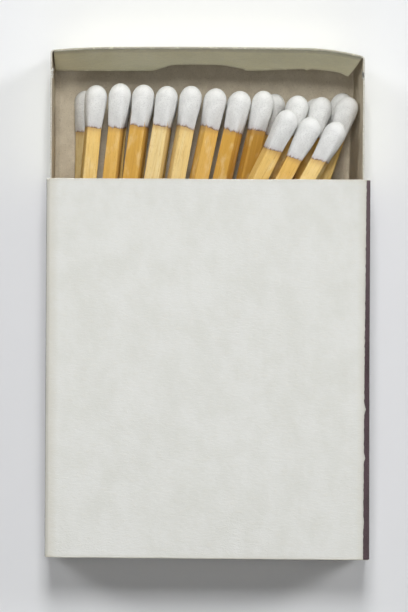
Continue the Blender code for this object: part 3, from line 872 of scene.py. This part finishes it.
def loft_mesh(name, loops, tip=None):
    """A closed mesh from loops of points, capped at both ends, or with a tip at its start."""
    size = len(loops[0])
    points = [point for loop in loops for point in loop]
    faces = []
    for number in range(len(loops) - 1):
        for side in range(size):
            first = number * size + side
            after = number * size + (side + 1) % size
            faces.append((first, after, after + size, first + size))
    faces.append(tuple(range(len(points) - 1, len(points) - size - 1, -1)))
    if tip is None:
        faces.append(tuple(range(size)))
    else:
        points.append(tip)
        faces += [(len(points) - 1, (side + 1) % size, side) for side in range(size)]
    mesh = bpy.data.meshes.new(name)
    mesh.from_pydata(points, [], faces)
    bm = bmesh.new()
    bm.from_mesh(mesh)
    bmesh.ops.recalc_face_normals(bm, faces=bm.faces)
    bm.to_mesh(mesh)
    bm.free()
    return mesh


def bend_at(y, bend):
    """How far a bent match has moved sideways at a distance from its butt."""
    return bend * MM * max(0.0, (y - BEND_START) / (MATCH_LENGTH - BEND_START)) ** 2


def square_outline(width):
    """A stick's section: a square with rounded corners, as directions and distances."""
    half = STICK_WIDTH * width / 2
    flat = half - STICK_CORNER
    outline = []
    for quarter in range(4):
        turn = Matrix.Rotation(quarter * pi / 2, 2)
        for offset in np.linspace(-flat, flat, 7):
            outline.append(turn @ Vector((half, offset)))
        corner = Vector((flat, flat)) + Vector((1, 1)).normalized() * STICK_CORNER
        outline.append(turn @ corner)
    return outline


def make_stick(match, number, wood):
    """A sawn stick: slightly uneven faces, worn corners and a rough butt."""
    tone, width, longer, *_, bend = LOOKS.get(match, PLAIN)
    outline = square_outline(width)
    length = MATCH_LENGTH - STICK_STOP
    loops = []
    stain = []
    for y in [0.0, 0.05 * MM, *np.arange(0.6, length / MM, STICK_STEP) * MM, length]:
        loop = []
        butt = BUTT_SHARE if y == 0.0 else 1.0
        for point in outline:
            ridge = wander(point.x / MM * 2.6, y / MM * 0.07, point.y / MM * 2.6 + number * 5)
            fray = wander(point.x / MM * 4, y / MM * 0.9, point.y / MM * 4 + number * 3)
            grow = 1 + (0.7 * ridge + 0.4 * fray) * STICK_ROUGHNESS / point.length
            grow = min(grow, 1.0 + 0.3 * STICK_ROUGHNESS / point.length)
            rough = BUTT_ROUGHNESS * fray if y == 0.0 else 0.0
            loop.append((point.x * grow * butt + bend_at(y, bend), y + rough,
                         point.y * grow * butt))
            below = (MATCH_LENGTH - HEAD_LENGTH - y) / MM - longer
            stain.append(max(0.0, 1 - below / STAIN_RUN) if below > -0.5 else 1.0)
        loops.append(loop)
    name = match + "_wood"
    mesh = loft_mesh(name, loops)
    set_values(mesh, "tone", [tone] * len(mesh.vertices))
    set_values(mesh, "shift", [number * 0.37] * len(mesh.vertices))
    set_values(mesh, "stain", stain)
    stick = shown(name, mesh, wood)
    mesh.set_sharp_from_angle(angle=radians(55))
    stick.matrix_world = match_frame(match + "_stick")
    dress(stick, match + "_stick")


def head_rings(width, wide, length):
    """Share of the way to the lower edge, half width and squareness of each ring, from the tip."""
    rings = []
    full = HEAD_DIAMETER * wide / 2
    for angle in np.linspace(0, pi / 2, 13)[1:]:
        share = HEAD_WIDEST * (1 - cos(angle)) / length
        rings.append((share, full * sin(angle), 0.0))
    widest = HEAD_WIDEST / length
    neck = STICK_WIDTH * width / 2 + EDGE_THICKNESS
    for share in np.linspace(0, 1, 17)[1:]:
        half = full - (full - neck) * share ** HEAD_TAPER
        rings.append((widest + (1 - widest) * share * 0.985, half, 0.85 * share ** 2))
    # The lower edge turns in to the stick in two last rings
    rings.append((0.995, neck - 0.25 * EDGE_THICKNESS, 0.9))
    rings.append((1.0, neck - 0.7 * EDGE_THICKNESS, 1.0))
    return rings


def section(half, squareness, angle):
    """Distance from the axis to a section that runs from round (0) to square (1)."""
    square = 1 / max(abs(cos(angle)), abs(sin(angle)))
    return half * (1 - squareness + squareness * min(square, SQUARE_LIMIT))


def make_head(match, number, compound):
    """A moulded head: an egg that narrows to the stick, with a ragged lower edge."""
    _, width, longer, slant, low_side, ragged, wide, bend = LOOKS.get(match, PLAIN)
    length = HEAD_LENGTH + longer * MM
    pocket = STICK_WIDTH * width / 2 - HEAD_POCKET
    loops = []
    edge = []
    rings = head_rings(width, wide, length)
    rings += [(1.0, pocket, 1.0), (STICK_STOP / length, pocket, 1.0)]
    for ring, (share, half, squareness) in enumerate(rings):
        loop = []
        inside = ring >= len(rings) - 2
        for side in range(HEAD_SIDES):
            angle = 2 * pi * side / HEAD_SIDES
            drip = 0.62 * wander(cos(angle) * 2.2, sin(angle) * 2.2, number * 7.0)
            drip += 0.6 * wander(cos(angle) * 6.5, sin(angle) * 6.5, number * 3.0)
            lower = slant * MM * 0.5 * cos(angle - radians(low_side))
            lower += EDGE_RAGGED * ragged * drip
            below = share * length
            if not (inside and share < 1.0):
                below += lower * max(0.0, share - HEAD_EVEN) / (1 - HEAD_EVEN)
            reach = section(half, squareness, angle)
            spot = (cos(angle) * 0.9, below / MM * 0.45, sin(angle) * 0.9 + number * 4.0)
            lump = 0.0 if inside else HEAD_LUMPS * sin(min(share, 1.0) * pi) * wander(*spot)
            reach += min(lump, 0.35 * HEAD_LUMPS)
            y = MATCH_LENGTH - below
            loop.append((reach * cos(angle) + bend_at(y, bend), y, reach * sin(angle)))
            edge.append(0.0 if inside else (1 - share) * length / MM)
        loops.append(loop)
    name = match + "_compound"
    mesh = loft_mesh(name, loops, tip=(bend_at(MATCH_LENGTH, bend), MATCH_LENGTH, 0))
    edge.append(length / MM)
    set_values(mesh, "edge", edge)
    head = shown(name, mesh, compound)
    mesh.set_sharp_from_angle(angle=radians(60))
    head.matrix_world = match_frame(match + "_stick")
    dress(head, match + "_head")


def make_matches(wood, compound):
    sticks = sorted(name for name in frame["nodes"] if name.endswith("_stick"))
    for number, node in enumerate(sticks):
        match = node.removesuffix("_stick")
        make_stick(match, number, wood)
        make_head(match, number, compound)


# Stage

def make_floor():
    """A plain pale table top."""
    mesh = bpy.data.meshes.new("table_top")
    bm = bmesh.new()
    bmesh.ops.create_grid(bm, x_segments=1, y_segments=1, size=TABLE_REACH)
    bm.to_mesh(mesh)
    bm.free()
    made, tree, place = start_material("table_top")
    paper = grain(tree, place, (0.1, 0.1, 0.1), detail=2)
    colour = mix(tree, paper, (0.81, 0.82, 0.835), (0.80, 0.81, 0.825))
    finish_material(tree, colour, band(tree, paper, -2, 1.0), paper, 0.001 * MM)
    floor = shown("table_top", mesh, made)
    floor.location.z = -TABLE_DROP


def make_lights():
    """Soft panels overhead and on every side, in a dark studio."""
    world = bpy.data.worlds.new("studio")
    world.use_nodes = True
    world.node_tree.nodes["Background"].inputs["Strength"].default_value = 0.0
    bpy.context.scene.world = world
    for name, place, width, depth, power in PANELS:
        light = bpy.data.lights.new(name, "AREA")
        light.shape = "RECTANGLE"
        light.size = width
        light.size_y = depth
        light.energy = power
        lamp = bpy.data.objects.new(name, light)
        lamp.location = place
        lamp.rotation_mode = "QUATERNION"
        lamp.rotation_quaternion = (-Vector(place)).to_track_quat("-Z", "Y")
        bpy.context.scene.collection.objects.link(lamp)


def make_camera():
    """Straight down, as the photograph was taken."""
    data = bpy.data.cameras.new("camera")
    data.sensor_width = SENSOR
    data.lens = SENSOR * EYE_HEIGHT / (FRAME_PIXELS / PIXELS_PER_MM * MM)
    data.clip_start = 0.01
    data.clip_end = 10
    camera = bpy.data.objects.new("camera", data)
    camera.location = (*EYE_PLACE, SLEEVE_HIGH.z + EYE_HEIGHT)
    camera.rotation_euler = (0, 0, radians(EYE_ROLL))
    bpy.context.scene.collection.objects.link(camera)
    bpy.context.scene.camera = camera
    bpy.context.scene.view_settings.view_transform = "Standard"


make_camera()
make_floor()
make_lights()
BOARD = greyboard()
EDGE = card_edge("card_edge", *SLEEVE_EDGE)
make_sleeve(coated_face("sleeve_liner", *SLEEVE_LINER), BOARD, EDGE)
make_strikers(striking_coat())
make_tray(coated_face("tray_liner", *TRAY_LINER), BOARD, card_edge("tray_edge", *TRAY_EDGE))
make_tears(EDGE)
make_matches(stick_wood(), head_compound())
